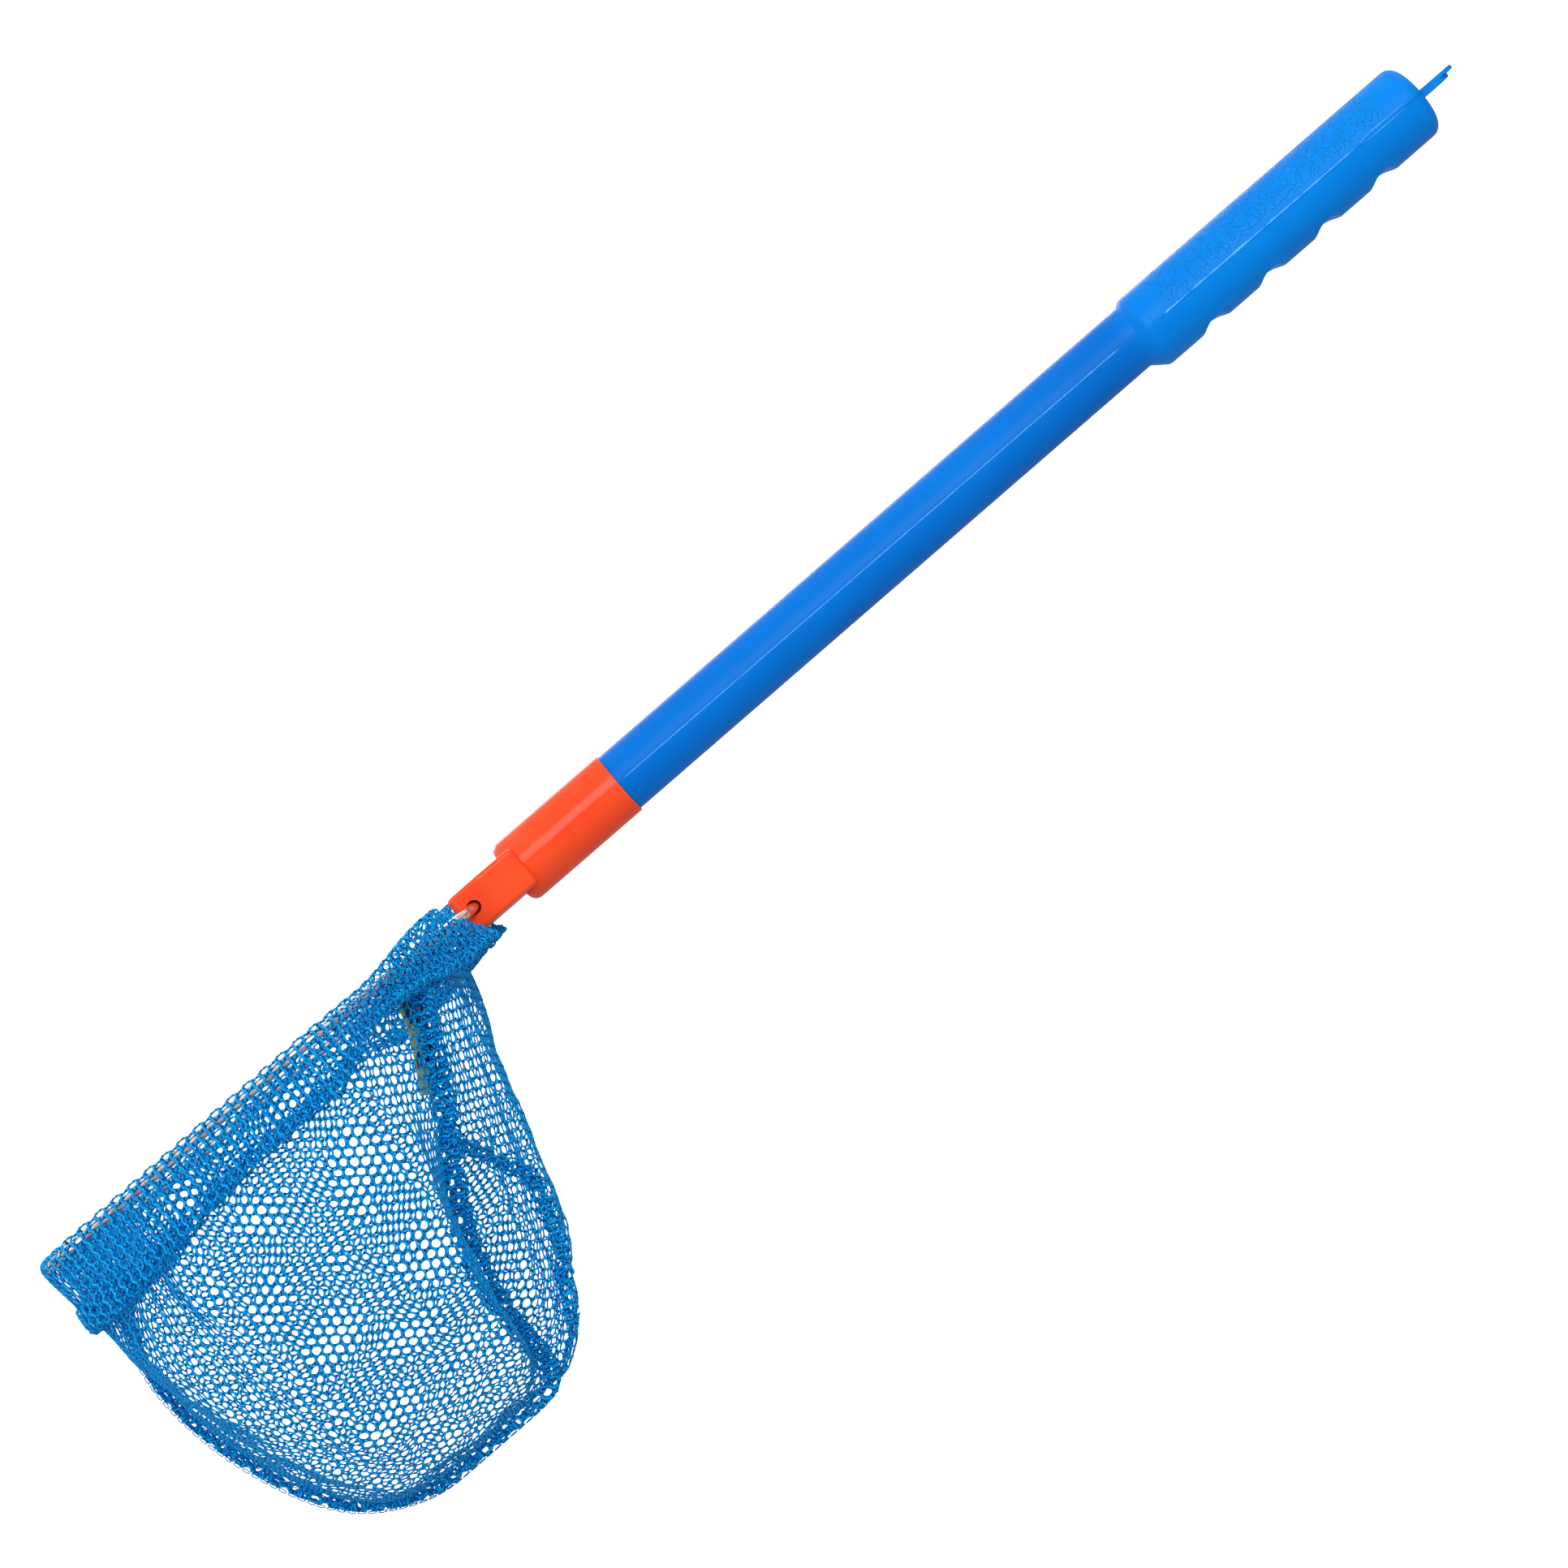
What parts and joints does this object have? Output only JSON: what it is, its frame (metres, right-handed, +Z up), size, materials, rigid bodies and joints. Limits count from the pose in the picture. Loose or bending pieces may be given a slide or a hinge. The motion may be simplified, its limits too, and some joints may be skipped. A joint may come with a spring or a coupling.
{
  "type": "leaf skimmer net",
  "caption": "Hand-held leaf skimmer net: hollow plastic handle with a ribbed finger grip, moulded connector, flat-fronted wire hoop and a deep knitted mesh bag.",
  "frame": {"origin": "on the pole's axis, at the middle of the grip", "axes": "+X along the pole from the hoop towards the grip, +Z up out of the hoop's mouth; the hoop lies in z = 0 and the bag hangs below it"},
  "size_m": [0.5254, 0.165, 0.1339],
  "materials": {
    "handle_plastic": "semi-gloss blow-moulded polyethylene",
    "connector_plastic": "gloss injection-moulded",
    "hoop_steel": "polished",
    "net_mesh": "knitted polyester mesh",
    "sewing_thread": "spun polyester thread",
    "label_cloth": "woven satin"
  },
  "bodies": {
    "root": {"handle": "handle_plastic", "connector": "connector_plastic", "hoop_wire": "hoop_steel", "hem_casing": "net_mesh", "net_panel_left": "net_mesh", "net_panel_right": "net_mesh", "hem_stitching": "sewing_thread", "seam_stitching": "sewing_thread", "care_label": "label_cloth", "label_stitching": "sewing_thread"}
  },
  "joints": []
}
